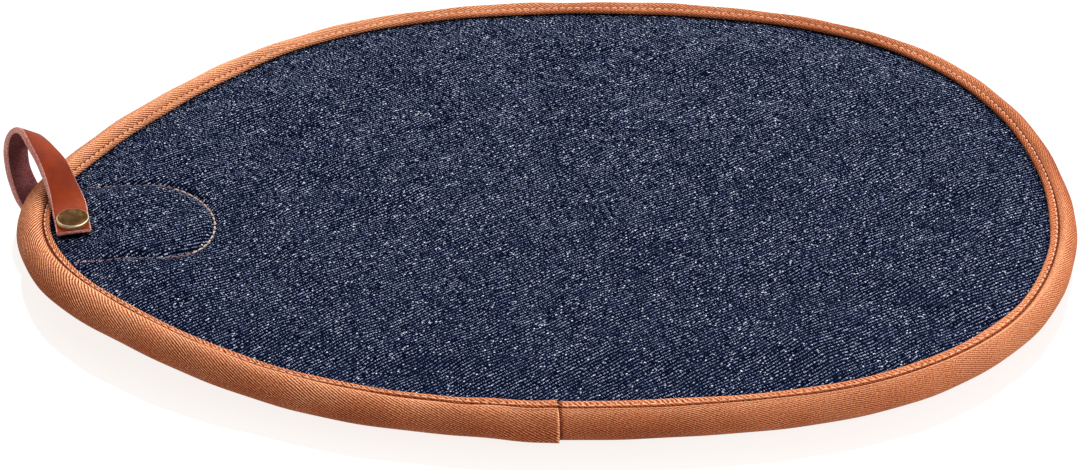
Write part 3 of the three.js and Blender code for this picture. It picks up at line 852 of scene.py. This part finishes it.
def furrow_inset(cover):
    more = cover - TAPE_COVER
    return FURROW + np.where(more < 0, 1.5, 1.1) * more


def section_points(cover, furrow, count, sink=0.0):
    """Outer contour of the folded tape from the lip on top, round the edge, to the lip beneath."""
    f, c = furrow, cover
    top = [(c, 10.35), (c + 0.05, 11.0), (c - 0.35, 11.5), (c - 1.0, 11.62), (f + 1.1, 11.4),
           (f + 0.6, 10.75), (f + 0.25, 10.42), (f - 0.1, 10.85), (f - 0.55, 11.8), (f - 1.2, 12.62),
           (f - 2.1, 13.05)]
    r = 6.07 * f / FURROW
    arc = []
    for a in np.linspace(0.60, 1.40, 11) * math.pi:
        arc.append((r + r * math.cos(a), EDGE_ROUND + EDGE_ROUND * math.sin(a)))
    low = [(a, 2 * EDGE_ROUND - z) for a, z in top[::-1]]
    # The roll is pressed a little flatter along the wide half.
    flat = [(a, z - sink * float(smooth((z - EDGE_ROUND) / 6.0)) * float(smooth((f + 0.1 - a) / 0.9)))
            for a, z in top + arc]
    return spline(flat + low, count)


def lap(x, t):
    """How proud the folded end stands: it covers the last stretch before the join."""
    return np.clip((x - (FOLD_X - 30)) / 29, 0, 1) ** 1.25 * (t > math.pi)


def binding():
    m_out, m_in = 64, 6
    t, step = TAPE_RUN, TAPE_STEP
    n = len(t)
    p = outline(t)
    nrm = outward(t)
    rings = np.zeros((n, m_out + m_in, 3))
    stitch = 2 * math.pi / STITCH_STEP
    for i in range(n):
        x, y = p[i]
        base = tape_cover(x)
        cover = base + 0.18 * math.sin(step[i] / 17.0) + 0.12 * math.sin(step[i] / 6.3 + 1)
        furrow = float(furrow_inset(base)) + 0.12 * math.sin(step[i] / 11.0 + 2)
        if y < 0 and x < FOLD_X:
            slack = float(smooth((x - (FOLD_X - 42)) / 14) * smooth((FOLD_X - x) / 4))
            cover += slack * 0.45 * math.sin((x - FOLD_X) / 4.6)
            furrow += slack * 0.4 * math.sin((x - FOLD_X) / 3.7 + 1)
        sec = section_points(cover, furrow, m_out, SINK * float(smooth((x + 120) / 60)))
        inner = np.array([(cover, 2.6), (7.2, 2.4), (6.8, 3.2), (6.8, 9.8), (7.2, 10.08), (cover, 10.12)])
        a = np.r_[sec[:, 0], inner[:, 0]]
        z = np.r_[sec[:, 1], inner[:, 1]]
        outer = np.r_[np.ones(m_out), np.zeros(m_in)]
        # Each stitch pulls the furrow down a little; the roll swells and sinks slowly.
        pull = np.exp(-((a - furrow - 0.9) / 0.7) ** 2) * outer
        sign = np.where(z > EDGE_ROUND, 1.0, -1.0)
        z = z - sign * pull * 0.30 * (0.5 + 0.5 * math.cos(step[i] * stitch))
        roll = 0.14 * math.sin(step[i] / 9.0) + 0.10 * math.sin(step[i] / 4.1 + 2)
        out = outer * smooth((furrow - 0.1 - a) / 1.2) * roll
        raise_ = float(lap(x, t[i])) if i > n // 2 else 0.0
        da, dz = a - EDGE_ROUND, z - EDGE_ROUND
        norm = np.hypot(da, dz) + 1e-6
        # The folded end stands off most low down, where nothing holds it.
        grow = out + outer * raise_ * (0.5 + 1.6 * smooth((7.5 - z) / 6) * (a < 6.0))
        a2 = a + da / norm * grow
        z2 = z + dz / norm * grow * np.where(z < 3, 0.25, 1.0)
        z2 = np.maximum(z2, 0.02)
        q = p[i][None] - nrm[i][None] * a2[:, None]
        rings[i, :, :2] = q
        rings[i, :, 2] = z2 + lift(q[:, 0])
    sec = section_points(TAPE_COVER, FURROW, m_out)
    width = np.r_[0, np.cumsum(np.linalg.norm(np.diff(sec, axis=0), axis=1))]
    across = np.r_[width, width[-1] + 1 + np.arange(m_in)]
    # Square ends in the fold plane.
    rings[-1, :, 0] = FOLD_X
    rings[0, :, 0] = FOLD_X - 3
    obj = strip("edge_binding_tape", rings, step, across)
    return outward_faces(obj, merge=False)


edge_tape = dress(binding(), TAPE)


def mouth_tape(name, tip, mouth):
    yh = inset(np.array([angle_at(mouth, 12.5, True)]), np.array([12.5]))[0][1]
    yl = inset(np.array([angle_at(mouth, 12.5, False)]), np.array([12.5]))[0][1]
    sec = spline([(5.2, 0.75), (2.4, 0.62), (0.5, 0.72), (0.0, 1.5), (0.5, 2.3), (2.4, 2.42), (5.2, 2.35),
                  (5.25, 2.15), (1.3, 2.12), (1.3, 0.98), (5.25, 0.95)], 44, True)
    n = 220
    ys = np.linspace(yl, yh, n)
    d = rim_distance(np.c_[np.full(n, mouth), ys])
    rise = 1.3 * (1 - from_edge(d))
    rings = np.zeros((n, len(sec), 3))
    for i in range(n):
        wob = 0.12 * math.sin(ys[i] / 7.0) + 0.08 * math.sin(ys[i] / 3.1)
        rings[i, :, 0] = mouth + tip * (sec[:, 0] + wob * (sec[:, 0] > 2))
        rings[i, :, 1] = ys[i]
        rings[i, :, 2] = sec[:, 1] + rise[i] + lift(np.array(mouth))
    across = np.r_[0, np.cumsum(np.linalg.norm(np.diff(sec, axis=0), axis=1))]
    obj = strip(name, rings, ys - ys[0], across)
    return dress(outward_faces(obj, merge=False), TAPE), ys, rise


finger_tape, finger_ys, finger_rise = mouth_tape("finger_pocket_tape", 1, FINGER_MOUTH)
thumb_tape, thumb_ys, thumb_rise = mouth_tape("thumb_pocket_tape", -1, THUMB_MOUTH)


# ---------------------------------------- stitches
def stitches(name, centres, directions, normals, length, radius, materials, pick=None, seed=0):
    """One short rounded thread per stitch, all in one mesh."""
    r = np.random.default_rng(seed)
    rings, sides = 7, 8
    profile = np.linspace(-1, 1, rings)
    pts, faces, mats = [], [], []
    for c, d, nn in zip(centres, directions, normals):
        d = d / np.linalg.norm(d)
        nn = nn - d * (nn @ d)
        nn /= np.linalg.norm(nn)
        s = np.cross(d, nn)
        tilt = r.normal(0, 0.06)
        d2 = d * math.cos(tilt) + s * math.sin(tilt)
        s2 = np.cross(d2, nn)
        half = length / 2 * r.uniform(0.92, 1.06)
        base = len(pts)
        for q in profile:
            rad = radius * max(0.28, math.sqrt(max(0.0, 1 - abs(q) ** 3)))
            arch = -radius * 0.9 * abs(q) ** 3
            for j in range(sides):
                a = 2 * math.pi * j / sides
                rise = arch + rad * math.sin(a) * 0.85
                pts.append(c + d2 * (q * half) + nn * rise + s2 * (rad * math.cos(a)))
        for i in range(rings - 1):
            for j in range(sides):
                a = base + i * sides + j
                b = base + i * sides + (j + 1) % sides
                faces.append((a, b, b + sides, a + sides))
                mats.append(0 if pick is None else pick(c))
        faces.append(tuple(base + j for j in range(sides))[::-1])
        faces.append(tuple(base + (rings - 1) * sides + j for j in range(sides)))
        mats += [mats[-1], mats[-1]]
    obj = make(name, np.array(pts), faces)
    dress(obj, *materials)
    obj.data.polygons.foreach_set("material_index", np.array(mats, np.int32))
    return outward_faces(obj, merge=False)


def spaced(path, step):
    """Centres and directions at equal steps along a polyline."""
    path = np.asarray(path, float)
    s = np.r_[0, np.cumsum(np.linalg.norm(np.diff(path, axis=0), axis=1))]
    at = np.arange(step / 2, s[-1], step)
    c = np.stack([np.interp(at, s, path[:, k]) for k in range(path.shape[1])], -1)
    f = np.stack([np.interp(at + 0.2, s, path[:, k]) for k in range(path.shape[1])], -1)
    g = np.stack([np.interp(at - 0.2, s, path[:, k]) for k in range(path.shape[1])], -1)
    return c, f - g


def edge_stitches(name, z, up):
    t = np.linspace(SPLIT_LOW - 2 * math.pi + 0.003, SPLIT_LOW - 0.006, 2400)
    p = outline(t)
    q = inset(t, furrow_inset(tape_cover(p[:, 0])) + 0.85)
    rise = np.array([float(lap(a[0], b)) for a, b in zip(p, t)]) * 0.45
    path = np.c_[q, z + lift(q[:, 0]) + (rise if up > 0 else 0)]
    c, d = spaced(path, STITCH_STEP)
    nn = np.tile([0.0, 0.0, float(up)], (len(c), 1))
    return stitches(name, c, d, nn, 2.25, 0.3, [THREAD_TAN], None, 3)


top_stitches = edge_stitches("edge_stitches_upper", 11.32, 1)
under_stitches = edge_stitches("edge_stitches_lower", 1.98, -1)


def u_seam():
    cx = U_FAR - U_HALF
    pts = [(x, u_line(x) + U_HALF) for x in np.linspace(-156, cx, 30)]
    pts += [(cx + U_HALF * math.sin(a), u_line(cx + U_HALF * math.sin(a)) + U_HALF * math.cos(a))
            for a in np.linspace(0.04, math.pi - 0.04, 50)]
    pts += [(x, u_line(x) - U_HALF) for x in np.linspace(cx, -161, 30)]
    path = np.array(pts)
    z = face_height(path[:, 0], path[:, 1])
    gold_from = cx + 9
    round_end = smooth((path[:, 0] - gold_from + 8) / 8)
    path = np.c_[path, z - 0.12 + 0.30 * round_end]
    c, d = spaced(path, U_STEP)
    nn = np.tile([0.0, 0.0, 1.0], (len(c), 1))
    return stitches("u_seam_stitches", c, d, nn, 2.6, 0.34, [THREAD_GOLD, THREAD_RED],
                    lambda p: 0 if p[0] > gold_from + 4 * (p[1] < -6) else 1, 5)


u_stitches = u_seam()


def mouth_stitches(name, tip, mouth, ys, rise):
    x = mouth + tip * 3.7
    path = np.c_[np.full(len(ys), x), ys, 0.60 + rise]
    path = path[8:-8]
    c, d = spaced(path, MOUTH_STEP)
    nn = np.tile([0.0, 0.0, -1.0], (len(c), 1))
    return stitches(name, c, d, nn, 2.3, 0.24, [THREAD_TAN], None, 9)


finger_stitches = mouth_stitches("finger_mouth_stitches", 1, FINGER_MOUTH, finger_ys, finger_rise)
thumb_stitches = mouth_stitches("thumb_mouth_stitches", -1, THUMB_MOUTH, thumb_ys, thumb_rise)

# ---------------------------------------- leather strap
# The strap's middle line: x, y and height, then its width's turn and lean in degrees.
STRAP_STOPS = np.array([
    [-160.7, -12, 1.85, 9, 0],
    [-162.3, 0.9, 1.85, 11, 0],
    [-166.1, 11.2, 1.8, 16.7, 1],
    [-169.0, 17.6, 1.9, 22, 2.5],
    [-172.0, 23.0, 2.6, 33, 5.8],
    [-175.7, 27.9, 5.5, 46, 10.9],
    [-178.3, 31.7, 11.7, 52, 14.7],
    [-179.0, 33.7, 17.2, 52, 18],
    [-178.7, 34.6, 21.5, 50, 22],
    [-177.3, 34.4, 25.1, 45, 28],
    [-175.1, 32.6, 27.4, 37, 35],
    [-172.9, 29.5, 28.0, 32, 38.5],
    [-170.5, 24.8, 27.0, 31, 32],
    [-166.9, 18.3, 23.9, 30, 22],
    [-164.1, 11.7, 18.8, 25, 15],
    [-162.3, 5.7, 15.5, 14, 5],
    [-161.5, -3.0, 15.25, 6, 0],
    [-160.8, -12.4, 15.25, 6, 0],
])


def strap_piece(name, start, end, count, round_start, round_end):
    """A length of the strap between two stops; smooth face outside, suede inside, cut edges."""
    p = spline(STRAP_STOPS, 1600)
    s = np.linspace(0, len(STRAP_STOPS) - 1, 1600)
    keep = np.linspace(start, end, count)
    row = np.stack([np.interp(keep, s, p[:, k]) for k in range(5)], -1)
    centre = row[:, :3]
    tangent = np.gradient(centre, axis=0)
    tangent /= np.linalg.norm(tangent, axis=1, keepdims=True)
    turn, lean = np.radians(row[:, 3]), np.radians(row[:, 4])
    wide = np.stack([np.cos(turn) * np.cos(lean), np.sin(turn) * np.cos(lean), -np.sin(lean)], -1)
    ahead = tangent - wide * (tangent * wide).sum(1, keepdims=True)
    ahead /= np.linalg.norm(ahead, axis=1, keepdims=True)
    thick = np.cross(ahead, wide)
    w, h, r = STRAP_WIDTH / 2, STRAP_THICK / 2, STRAP_ROUND
    # Half of the section is a flat and one rounded edge, and the other half mirrors it.
    flat, bend = 12, np.linspace(math.pi / 2, 0, 4)[1:]
    half = [(a, h) for a in np.linspace(-w + r, w - r, flat)]
    half += [(w - r + r * math.cos(a), h - r + r * math.sin(a)) for a in bend]
    half += [(w - r + r * math.cos(a), r - h - r * math.sin(a)) for a in bend[::-1]]
    sec = np.vstack([half, -np.array(half)])
    kind = [0] * flat + [1] * 6 + [2] * flat + [1] * 6
    n, m = count, len(sec)
    length = np.r_[0, np.cumsum(np.linalg.norm(np.diff(centre, axis=0), axis=1))]
    rings = np.zeros((n, m, 3))
    for i in range(n):
        a = sec[:, 0] * (1 + 0.012 * math.sin(length[i] / 3.3))
        cup = 0.10 * (1 - (a / w) ** 2)
        # The snap end is skived thin from beneath.
        thin = 1 - 0.42 * float(smooth((length[i] - length[-1] + 4.5) / 4.0)) * round_end
        c = h - (h - sec[:, 1]) * thin + cup
        rings[i] = centre[i] + wide[i] * a[:, None] + thick[i] * c[:, None]
    # The cut ends are eased: their last rings are drawn in slightly.
    for i, amount in ((0, round_start), (n - 1, round_end)):
        if amount:
            mid = rings[i].mean(0)
            rings[i] = mid + (rings[i] - mid) * 0.97
    across = np.r_[0, np.cumsum(np.linalg.norm(np.diff(sec, axis=0), axis=1))]
    obj = strip(name, rings, length, across)
    dress(obj, HIDE, HIDE_EDGE, HIDE_BACK)
    mats = np.zeros(len(obj.data.polygons), np.int32)
    for f in range((n - 1) * m):
        j = f % m
        k0, k1 = kind[j], kind[(j + 1) % m]
        mats[f] = k0 if k0 == k1 else 1
    mats[(n - 1) * m:] = 1
    obj.data.polygons.foreach_set("material_index", mats)
    return outward_faces(obj, merge=False)


FREE_FROM = 4.2
strap_low = strap_piece("strap_lower_run", 0, FREE_FROM, 90, True, False)
strap_top = strap_piece("strap_upper_run", FREE_FROM, len(STRAP_STOPS) - 1, 420, False, True)


# ---------------------------------------- snap hardware
def turned(name, profile, segments, count):
    """A brass piece turned about the snap's axis, its profile smoothed to count points."""
    prof = spline(np.array(profile, float), count)
    prof[:, 0] = np.maximum(prof[:, 0], 0)
    n = len(prof)
    a = np.linspace(0, 2 * np.pi, segments, endpoint=False)
    pts = np.zeros((n, segments, 3))
    pts[..., 0] = SNAP_X + prof[:, :1] * np.cos(a)
    pts[..., 1] = SNAP_Y + prof[:, :1] * np.sin(a)
    pts[..., 2] = prof[:, 1:2]
    faces = grid_faces(n, segments, True)
    obj = make(name, pts.reshape(-1, 3), faces)
    outward_faces(obj)
    return dress(obj, BRASS)


# Each profile runs from the axis below, out and back to the axis above: radius, height.
CAP_PROFILE = [
    (0, 14.7), (1.25, 14.7), (1.3, 16.3), (1.6, 16.5), (5.0, 16.45), (5.35, 16.6),
    (5.52, 16.95), (5.52, 17.4), (5.4, 17.76), (5.18, 17.95), (4.95, 17.98), (4.75, 17.92),
    (4.5, 17.88), (4.0, 17.89), (3.0, 17.91), (2.0, 17.93), (1.0, 17.95), (0, 17.95),
]
SOCKET_PROFILE = [
    (0, 13.6), (2.1, 13.6), (2.15, 12.5), (2.4, 12.25), (3.4, 12.2), (3.9, 12.4),
    (4.1, 12.9), (4.0, 13.6), (3.7, 13.9), (0, 14.1),
]
STUD_PROFILE = [
    (0, 8.3), (1.25, 8.3), (1.3, 11.0), (3.3, 11.1), (3.6, 11.3), (3.4, 11.6),
    (1.8, 11.7), (1.5, 12.0), (1.7, 12.7), (1.5, 13.15), (0.9, 13.3), (0, 13.3),
]
RIVET_PROFILE = [
    (0, 0.08), (3.0, 0.06), (4.0, 0.12), (4.4, 0.35), (4.2, 0.62), (3.6, 0.7),
    (1.4, 0.72), (1.3, 1.2), (1.3, 7.8), (0, 7.9),
]
cap = turned("snap_cap_dome", CAP_PROFILE, 96, 90)
socket = turned("snap_socket_ring", SOCKET_PROFILE, 64, 50)
stud = turned("snap_stud_post", STUD_PROFILE, 64, 60)
rivet = turned("snap_back_rivet_head", RIVET_PROFILE, 64, 60)

# The stay patch stays as its CAD solid, inside the pad, with the lining's cloth.
for o in bpy.data.objects:
    if o.get("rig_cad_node") == "stay_patch" or o.name == "stay_patch":
        dress(o, LINING)

# ---------------------------------------- who moves with what
for piece in (denim_face, wadding, lining, edge_tape, top_stitches, under_stitches):
    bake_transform(piece)
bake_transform(strap_top)
for piece in (thumb_panel, thumb_tape, thumb_stitches, u_stitches, strap_low, stud, rivet):
    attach(piece, "thumb_half")
for piece in (finger_panel, finger_tape, finger_stitches):
    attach(piece, "finger_half")
for piece in (cap, socket):
    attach(piece, "snap_tab")

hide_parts("denim_face_narrow", "denim_face_wide")
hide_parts("wadding_narrow", "wadding_wide")
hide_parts("lining_narrow", "lining_wide")
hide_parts("edge_binding_narrow", "edge_binding_wide")
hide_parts("binding_stitch_top_narrow", "binding_stitch_top_wide")
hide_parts("binding_stitch_under_narrow", "binding_stitch_under_wide")
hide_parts("finger_pocket_panel")
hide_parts("thumb_pocket_panel")
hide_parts("finger_pocket_mouth_tape")
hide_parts("thumb_pocket_mouth_tape")
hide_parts("finger_mouth_stitch")
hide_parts("thumb_mouth_stitch")
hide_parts("u_seam_stitch")
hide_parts("strap_loop")
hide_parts("strap_tab")
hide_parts("snap_cap")
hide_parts("snap_socket")
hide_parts("snap_stud")
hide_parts("snap_back_rivet")

# ---------------------------------------- table and light
def table():
    m, nt, bsdf = tree("table_white")
    n = Nodes(nt)
    cloud = n.noise(n.coords(), 3.0, 2.0)
    grey = n.ramp(cloud, [(0.0, (0.060, 0.060, 0.060)), (1.0, (0.066, 0.066, 0.066))])
    glow = n.ramp(cloud, [(0.0, (1.0, 0.955, 0.93)), (1.0, (1.0, 0.96, 0.935))])
    n.link(grey, bsdf.inputs["Base Color"])
    n.link(glow, bsdf.inputs["Emission Color"])
    bsdf.inputs["Emission Strength"].default_value = 0.9
    bsdf.inputs["Roughness"].default_value = 0.05
    bsdf.inputs["Specular IOR Level"].default_value = 0.4
    mesh = bpy.data.meshes.new("table_top")
    half, z = 6.0, -0.0004
    corners = [(-half, -half, z), (half, -half, z), (half, half, z), (-half, half, z)]
    mesh.from_pydata(corners, [], [(0, 1, 2, 3)])
    obj = bpy.data.objects.new("table_top", mesh)
    scene.collection.objects.link(obj)
    dress(obj, m)


table()
sky = bpy.data.worlds.new("studio")
sky.use_nodes = True
sky.node_tree.nodes["Background"].inputs[0].default_value = (1, 1, 1, 1)
sky.node_tree.nodes["Background"].inputs[1].default_value = 0.34
scene.world = sky


def softbox(name, spot, target, size, power):
    data = bpy.data.lights.new(name, "AREA")
    data.shape = "RECTANGLE"
    data.size, data.size_y = size
    data.energy = power
    obj = bpy.data.objects.new(name, data)
    scene.collection.objects.link(obj)
    obj.location = spot
    obj.rotation_euler = (Vector(target) - Vector(spot)).to_track_quat("-Z", "Y").to_euler()


softbox("back_light", (0.1, 1.15, 1.05), (0, 0, 0), (2.6, 1.7), 46)
softbox("front_light", (1.0, -0.62, 1.2), (0, 0, 0), (1.4, 0.8), 20)
softbox("left_light", (-1.3, 0.2, 0.8), (0, 0, 0), (1.0, 0.8), 3)
softbox("right_light", (1.3, 0.3, 0.8), (0, 0, 0), (1.0, 0.8), 3)
